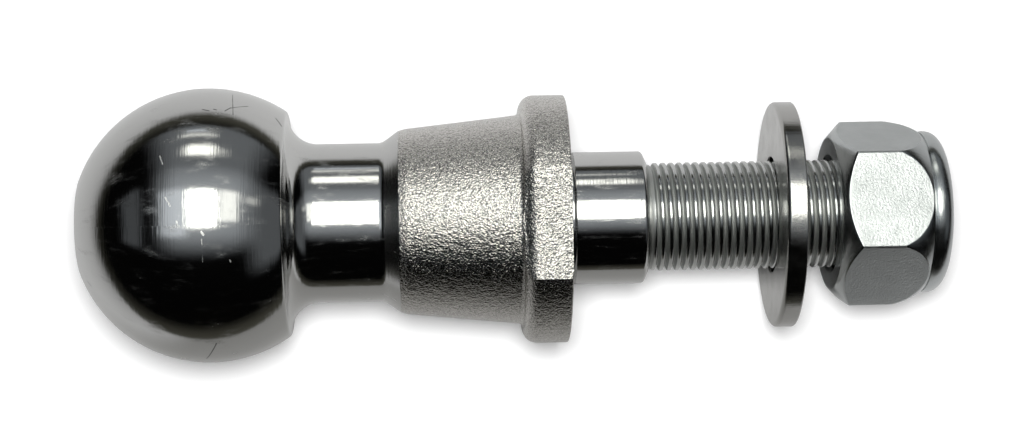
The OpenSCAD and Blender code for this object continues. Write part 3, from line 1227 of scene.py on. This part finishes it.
    def flat_limit(self, place: np.ndarray) -> np.ndarray:
        """Distance of the wrench flats from the axis, with the slope that leads up to them.

        Args:
            place: Places along the axis.

        Returns:
            The distance at each place, without end before and behind the flats.
        """
        start = self.collar_s - self.collar_blend - self.flat_lead
        rise = self.flat_r - self.body_rear_r
        bend = (self.flat_run ** 2 + rise ** 2) / (4 * rise)
        ahead = np.clip(place - start, 0, self.flat_run)
        hollow = self.body_rear_r + bend - np.sqrt(bend ** 2 - np.minimum(ahead, self.flat_run / 2) ** 2)
        left = np.minimum(self.flat_run - ahead, self.flat_run / 2)
        crown = self.flat_r - bend + np.sqrt(bend ** 2 - left ** 2)
        limit = np.where(ahead < self.flat_run / 2, hollow, crown)
        behind = self.seat_s + self.relief_land / 2
        return np.where((place < start) | (place > behind), np.inf, limit)

    def build(self, materials: Sequence[bpy.types.Material]) -> bpy.types.Object:
        """Builds the forging.

        Args:
            materials: Finishes in the order of StudSkin.

        Returns:
            The piece.
        """
        section = np.array(self.section(), float)
        places = section[:, 1]
        angles = self.angles()
        toward_flat = np.abs(np.cos(angles - math.radians(self.flat_roll_deg)))
        limit = self.flat_limit(places)[:, None] / toward_flat
        rings = polar(np.minimum(section[:, :1], limit), angles, places[:, None])
        mesh = mesh_from(self.name, rings, False, ((0, 0, places[0]), (0, 0, self.thread_s)))
        piece = finish_piece(mesh, materials, self.sharp_deg)
        rows = np.repeat((places[:-1] + places[1:]) / 2, len(angles))
        first, last = self.blast_inset
        blasted = (rows > self.body_s + first) & (rows < self.seat_s - last)
        skin = np.full(len(mesh.polygons), StudSkin.POLISHED.value, np.int32)
        skin[: len(rows)][blasted] = StudSkin.BLASTED.value
        mesh.polygons.foreach_set("material_index", skin)
        return piece


@dataclass
class Thread:
    """Fine rolled thread of the stud, made by a rule in Geometry Nodes, in millimetres."""

    name: str = "stud_thread"
    start_s: float = 79.7
    end_s: float = 127.7
    root_r: float = 9.03
    pitch: float = 1.5
    runout_turns: float = 1.2
    bevel: float = 1.5
    root_share: float = 0.05
    crest_share: float = 0.74
    phase_shift: float = 0.001
    weld: float = 0.002
    columns: int = 96
    rows_per_turn: int = 16
    sharp_deg: float = 50.0

    def values(self) -> dict[str, tuple[str, float]]:
        """Named inputs of the tree, with their socket types and values."""
        return {
            "Start": (FLOAT, self.start_s),
            "End": (FLOAT, self.end_s),
            "Crest radius": (FLOAT, THREAD_R),
            "Root radius": (FLOAT, self.root_r),
            "Pitch": (FLOAT, self.pitch),
            "Run-out": (FLOAT, self.runout_turns * self.pitch),
            "Bevel": (FLOAT, self.bevel),
            "Root share": (FLOAT, self.root_share),
            "Crest share": (FLOAT, self.crest_share),
            "Columns": (INTEGER, self.columns),
            "Rows per turn": (INTEGER, self.rows_per_turn),
        }

    def start_tree(self) -> tuple[Tree, dict[str, Socket]]:
        """Starts the tree with its sockets.

        Returns:
            The tree and its inputs by name.
        """
        made = bpy.data.node_groups.new("RolledThread", "GeometryNodeTree")
        made.is_modifier = True
        made.interface.new_socket("Geometry", in_out="INPUT", socket_type=GEOMETRY)
        for label, (kind, _) in self.values().items():
            made.interface.new_socket(label, in_out="INPUT", socket_type=kind)
        made.interface.new_socket("Geometry", in_out="OUTPUT", socket_type=GEOMETRY)
        tree = Tree(made)
        return tree, {socket.name: socket for socket in tree.node("NodeGroupInput").outputs}

    def skin_radius(self, tree: Tree, given: dict[str, Socket], step: Socket, place: Socket) -> Socket:
        """Radius of the thread's skin: ribs that grow out of the run-out and end in a bevel.

        Args:
            tree: The tree.
            given: Its inputs by name.
            step: Turns from the start, without the turn of the column.
            place: Place along the axis.

        Returns:
            The radius in millimetres.
        """
        phase = tree.math("FRACT", tree.plus(step, self.phase_shift))
        peak = tree.times(tree.math("ABSOLUTE", tree.minus(phase, 0.5)), 2.0)
        ridge = tree.fade(peak, given["Root share"], given["Crest share"], -0.5, 0.5)
        grown = tree.fade(tree.minus(place, given["Start"]), 0.0, given["Run-out"])
        depth = tree.minus(given["Crest radius"], given["Root radius"])
        middle = tree.times(tree.plus(given["Crest radius"], given["Root radius"]), 0.5)
        raised = tree.times_plus(tree.times(ridge, grown), depth, middle)
        end_r = tree.minus(given["Crest radius"], given["Bevel"])
        bevelled = tree.plus(end_r, tree.minus(given["End"], place))
        return tree.math("MINIMUM", raised, bevelled)

    def tree(self, material: bpy.types.Material) -> bpy.types.NodeTree:
        """Builds the tree: a sheared sheet of points is rolled round the axis and raised to the crests.

        Args:
            material: Finish of the thread.

        Returns:
            The tree, with a named input for each size.
        """
        tree, given = self.start_tree()
        turns = tree.math("DIVIDE", tree.minus(given["End"], given["Start"]), given["Pitch"])
        rows = tree.times(tree.math("CEIL", tree.plus(turns, 1.0)), given["Rows per turn"])
        grid = tree.node("GeometryNodeMeshGrid")
        tree.put(grid.inputs["Size X"], 1.0)
        tree.put(grid.inputs["Size Y"], 1.0)
        tree.put(grid.inputs["Vertices X"], tree.plus(given["Columns"], 1.0))
        tree.put(grid.inputs["Vertices Y"], tree.plus(rows, 3.0))
        x, y, _ = tree.split(tree.node("GeometryNodeInputPosition").outputs[0])
        turn = tree.plus(x, 0.5)
        line = tree.math("ROUND", tree.times(tree.plus(y, 0.5), tree.plus(rows, 2.0)))
        row = tree.minus(line, 1.0)
        step = tree.math("DIVIDE", row, given["Rows per turn"])
        run = tree.times(tree.minus(tree.plus(step, turn), 1.0), given["Pitch"])
        place = tree.held(tree.plus(run, given["Start"]), given["Start"], given["End"])
        radius = self.skin_radius(tree, given, step, place)
        past_start = tree.math("GREATER_THAN", line, 0.5)
        before_end = tree.math("LESS_THAN", row, tree.plus(rows, 0.5))
        reach = tree.times(tree.times(radius, tree.times(past_start, before_end)), MM)
        angle = tree.times(turn, 2 * math.pi)
        shares = (
            (tree.times(place, MM), LIE.axis),
            (tree.times(reach, tree.math("COSINE", angle)), LIE.down),
            (tree.times(reach, tree.math("SINE", angle)), LIE.side),
        )
        spot: Given = tuple(LIE.centre)
        for length, direction in shares:
            spot = tree.vector("ADD", tree.scaled(tuple(direction), length), spot)
        moved = tree.node("GeometryNodeSetPosition")
        tree.put(moved.inputs["Geometry"], grid.outputs["Mesh"])
        tree.put(moved.inputs["Position"], spot)
        joined = tree.node("GeometryNodeMergeByDistance")
        tree.put(joined.inputs["Geometry"], moved.outputs[0])
        tree.put(joined.inputs["Distance"], self.weld * MM)
        real = tree.node("GeometryNodeRealizeInstances")
        tree.put(real.inputs[0], joined.outputs[0])
        painted = tree.node("GeometryNodeSetMaterial")
        tree.put(painted.inputs["Geometry"], real.outputs[0])
        painted.inputs["Material"].default_value = material
        tree.put(tree.node("NodeGroupOutput").inputs[0], painted.outputs[0])
        return tree.tree

    def build(self, material: bpy.types.Material) -> bpy.types.Object:
        """Builds the threaded shank as a closed mesh.

        Args:
            material: Finish of the thread.

        Returns:
            The piece.
        """
        tree = self.tree(material)
        carrier = add_object("thread_rule", bpy.data.meshes.new("thread_rule"))
        rule = carrier.modifiers.new("thread", "NODES")
        rule.node_group = tree
        keys = {item.name: item.identifier for item in tree.interface.items_tree if item.in_out == "INPUT"}
        for label, (_, value) in self.values().items():
            rule[keys[label]] = value
        graph = bpy.context.evaluated_depsgraph_get()
        mesh = bpy.data.meshes.new_from_object(carrier.evaluated_get(graph), depsgraph=graph)
        carrier.modifiers.remove(rule)
        bpy.data.objects.remove(carrier)
        mesh.name = self.name
        mesh.validate()
        return finish_piece(mesh, (), self.sharp_deg)


@dataclass
class Washer:
    """Punched plain washer, which hangs on the thread and leans, in millimetres."""

    name: str = "plain_washer"
    bore_r: float = 10.55
    outer_r: float = 20.75
    start_s: float = 103.0
    thickness: float = 3.7
    edge: float = 0.3
    roll: float = 0.8
    lift: float = 0.3
    lean_deg: float = 1.3
    yaw_deg: float = 0.6
    columns: int = 224
    sharp_deg: float = 40.0

    def build(self, material: bpy.types.Material) -> bpy.types.Object:
        """Builds the washer.

        Args:
            material: Finish of the washer.

        Returns:
            The piece.
        """
        half = self.thickness / 2
        section = rounded_ring((
            (self.bore_r, -half, self.edge),
            (self.outer_r, -half, self.roll),
            (self.outer_r, half, self.edge),
            (self.bore_r, half, self.edge),
        ))
        sideways = Matrix.Rotation(math.radians(self.yaw_deg), 3, "X")
        upright = Matrix.Rotation(-math.radians(self.lean_deg), 3, "Y")
        rings = lathe(section, self.columns) @ np.array(upright @ sideways, float).T
        rings += (-self.lift, 0.0, self.start_s + half)
        return finish_piece(mesh_from(self.name, rings, True), (material,), self.sharp_deg)


@dataclass
class LockNut:
    """Hexagon nut with a crimped collar, in millimetres."""

    name: str = "lock_nut"
    half_flats: float = 15.0
    corner_round: float = 0.6
    roll_deg: float = -9.0
    start_s: float = 113.8
    end_s: float = 134.0
    hex_end_s: float = 130.1
    face_r: float = 14.05
    face_guard: float = 0.5
    chamfer_deg: float = 42.0
    fall_l: float = 6.0
    dome_r: float = 13.6
    dome_shares: tuple[float, ...] = (0.04, 0.09, 0.2, 0.4, 0.6, 0.8, 0.97)
    crimp_r: float = 14.95
    crimp_round: float = 2.6
    bead_deg: float = -20.0
    groove_h: float = 0.4
    groove_walls: Point = (0.12, 0.4)
    lip_r: float = 11.3
    lip_t: float = 0.9
    lip_edge: float = 0.15
    pocket_r: float = 12.6
    pocket_s: float = 129.3
    sink: float = 0.8
    bevel: float = 0.2
    flat_shares: Point = (0.34, 0.66)
    # Rows of the eased edge, in bevels: inward, back along the chamfer and ahead along the flat
    edge_rows: tuple[Triple, ...] = ((2.0, 2.0, 0.0), (0.9, 0.75, 0.0), (0.2, 0.0, 0.2))
    columns_per_flat: int = 36
    columns_per_corner: int = 6
    sharp_deg: float = 38.0

    @property
    def slope(self) -> float:
        """Run of the front chamfer along the axis for each unit of radius."""
        return math.tan(math.radians(self.chamfer_deg))

    def outline(self) -> tuple[np.ndarray, np.ndarray]:
        """Outline of the hexagon with rounded corners.

        Returns:
            Angles round the axis and the hexagon's radius at each.
        """
        sixth = math.radians(30)
        inner = self.half_flats - self.corner_round
        centre = inner / math.cos(sixth)
        tangent = math.atan2(inner * math.tan(sixth), self.half_flats)
        corner = np.linspace(tangent, sixth, self.columns_per_corner + 1)[:-1]
        plain = np.linspace(-tangent, tangent, self.columns_per_flat - 2 * self.columns_per_corner + 1)
        angles = np.concatenate([[-sixth], -corner[::-1][:-1], plain, corner[1:]])
        off = sixth - np.abs(angles)
        rise = np.sqrt(np.clip(self.corner_round ** 2 - (centre * np.sin(off)) ** 2, 0, None))
        arc_r = centre * np.cos(off) + rise
        radius = np.where(np.abs(angles) > tangent, arc_r, self.half_flats / np.cos(angles))
        turns = [angles + math.radians(60 * side + self.roll_deg) for side in range(6)]
        return np.concatenate(turns), np.tile(radius, 6)

    def dome(self, hexagon: np.ndarray) -> tuple[np.ndarray, np.ndarray, float]:
        """Dome that the hexagon's corners fall off in towards the crimped end.

        Args:
            hexagon: Radius of the hexagon at each column.

        Returns:
            Centre of the dome's arc, the arc's first angle at each column and its last angle.
        """
        chord = np.array([self.crimp_r - self.half_flats * 2 / math.sqrt(3), self.fall_l])
        middle = np.array([self.crimp_r, self.hex_end_s]) - chord / 2
        outward = np.array([chord[1], -chord[0]]) / np.linalg.norm(chord)
        centre = middle - outward * math.sqrt(self.dome_r ** 2 - float(chord @ chord) / 4)
        last = math.acos((self.crimp_r - centre[0]) / self.dome_r)
        return centre, np.arccos((hexagon - centre[0]) / self.dome_r), last

    def hollow(self) -> list[Point]:
        """Section from the hexagon's end over the groove, the crimped collar and the pocket to the bore.

        Returns:
            Points as radius and place along the axis.
        """
        floor_r = self.crimp_r - self.groove_h
        walls = [(floor_r, self.hex_end_s + place) for place in self.groove_walls]
        round_at = (self.crimp_r - self.crimp_round, self.end_s - self.crimp_round)
        lip_end = self.end_s - self.lip_t
        return [
            (self.crimp_r, self.hex_end_s),
            *walls,
            *arc(round_at, self.crimp_round, self.bead_deg, 90.0, steps=22),
            (self.lip_r + self.lip_edge, self.end_s),
            (self.lip_r, self.end_s - self.lip_edge),
            (self.lip_r, lip_end),
            (self.pocket_r, lip_end),
            (self.pocket_r, self.pocket_s),
            (NUT_BORE_R, self.pocket_s),
            (NUT_BORE_R, self.start_s + self.sink),
            (NUT_BORE_R + self.sink, self.start_s),
        ]

    def front_s(self, hexagon: np.ndarray) -> np.ndarray:
        """Places along the axis where the front chamfer meets the flats, at each column."""
        return self.start_s + (hexagon - self.face_r) * self.slope

    def chamfer_rows(self, hexagon: np.ndarray) -> list[Row]:
        """Rows of the bearing face, the chamfer and the eased edge towards the flats.

        Args:
            hexagon: Radius of the hexagon at each column.

        Returns:
            Radius and place along the axis at each column, for each row.
        """
        ones = np.ones_like(hexagon)
        front = self.front_s(hexagon)
        half = self.bevel / 2
        rows = [
            (ones * (self.face_r - self.face_guard), ones * self.start_s),
            (ones * (self.face_r - self.bevel), ones * self.start_s),
            (ones * (self.face_r + half), ones * (self.start_s + half * self.slope)),
            ((hexagon + self.face_r) / 2, (front + self.start_s) / 2),
        ]
        for inward, back, ahead in self.edge_rows:
            rows.append((hexagon - inward * self.bevel, front + (ahead - back * self.slope) * self.bevel))
        return rows

    def flat_rows(self, hexagon: np.ndarray) -> list[Row]:
        """Rows of the flats, from the chamfer to the dome.

        Args:
            hexagon: Radius of the hexagon at each column.

        Returns:
            Radius and place along the axis at each column, for each row.
        """
        dome_at, dome_start, _ = self.dome(hexagon)
        front = self.front_s(hexagon)
        rear = dome_at[1] + self.dome_r * np.sin(dome_start)
        inner = [front + (rear - front) * share for share in self.flat_shares]
        guards = (self.bevel, 2 * self.bevel)
        places = [front + guard for guard in guards] + inner + [rear - guard for guard in guards[::-1]]
        return [(hexagon, place) for place in places]

    def dome_rows(self, hexagon: np.ndarray) -> list[Row]:
        """Rows of the dome, from the flats to the groove.

        Args:
            hexagon: Radius of the hexagon at each column.

        Returns:
            Radius and place along the axis at each column, for each row.
        """
        centre, first, last = self.dome(hexagon)
        angles = [first + (last - first) * share for share in self.dome_shares]
        return [(centre[0] + self.dome_r * np.cos(a), centre[1] + self.dome_r * np.sin(a)) for a in angles]

    def build(self, materials: Sequence[bpy.types.Material]) -> bpy.types.Object:
        """Builds the nut.

        Args:
            materials: Finishes in the order of NutSkin.

        Returns:
            The piece.
        """
        angles, hexagon = self.outline()
        ones = np.ones_like(hexagon)
        front = self.chamfer_rows(hexagon)
        flats = self.flat_rows(hexagon)
        rear = [(ones * radius, ones * place) for radius, place in self.hollow()]
        radii, places = (np.array(part) for part in zip(*front, *flats, *self.dome_rows(hexagon), *rear))
        mesh = mesh_from(self.name, polar(radii, angles, places), True)
        piece = finish_piece(mesh, materials, self.sharp_deg)
        skin = np.full(radii.shape, NutSkin.TURNED.value, np.int32)
        skin[len(front) : len(front) + len(flats) - 1] = NutSkin.FLATS.value
        mesh.polygons.foreach_set("material_index", skin.ravel())
        return piece


@dataclass
class NylonRing:
    """Locking ring inside the nut's crimped end, in millimetres."""

    name: str = "insert_ring"
    outer_r: float = 12.5
    start_s: float = 129.4
    height: float = 3.6
    edge: float = 0.35
    columns: int = 128
    sharp_deg: float = 50.0

    def build(self, material: bpy.types.Material) -> bpy.types.Object:
        """Builds the ring.

        Args:
            material: Finish of the ring.

        Returns:
            The piece.
        """
        start, end = self.start_s, self.start_s + self.height
        corners = ((NUT_BORE_R, start), (self.outer_r, start), (self.outer_r, end), (NUT_BORE_R, end))
        section = rounded_ring([(*corner, self.edge) for corner in corners])
        mesh = mesh_from(self.name, lathe(section, self.columns), True)
        return finish_piece(mesh, (material,), self.sharp_deg)


def main() -> None:
    """Builds the studio and the object's pieces in order."""
    logging.basicConfig(level=logging.INFO, format="%(name)s: %(message)s")
    Studio().build()
    groups = Groups()
    polished = PolishedSteel("steel_polished", (0.58, 0.58, 0.57), 0.10)
    blasted = BlastedZinc("zinc_blasted", (0.73, 0.71, 0.675), 0.10)
    thread_zinc = PlatedZinc("zinc_thread", (0.55, 0.56, 0.55), 0.14, smooth_from_r=9.85)
    washer_zinc = PlatedZinc(
        "zinc_washer", (0.46, 0.455, 0.44), 0.17, mottle_depth=0.012, brush_depth=0.012
    )
    nut_zinc = PlatedZinc("zinc_nut", (0.50, 0.52, 0.52), 0.20)
    flat_zinc = PlatedZinc(
        "zinc_nut_flats", (0.49, 0.51, 0.51), 0.34, mottle_mm=0.40, mottle_depth=0.08
    )
    stud = Stud().build((polished.build(groups), blasted.build(groups)))
    declare(stud, "stud", "ball_stud")
    declare(Thread().build(thread_zinc.build(groups)), "stud", "")
    declare(Washer().build(washer_zinc.build(groups)), "washer", "washer")
    nut = LockNut().build((nut_zinc.build(groups), flat_zinc.build(groups)))
    declare(nut, "nut", "nut")
    declare(NylonRing().build(Nylon().build(groups)), "nut_travel", "nylon_ring")


if __name__ == "__main__":
    main()
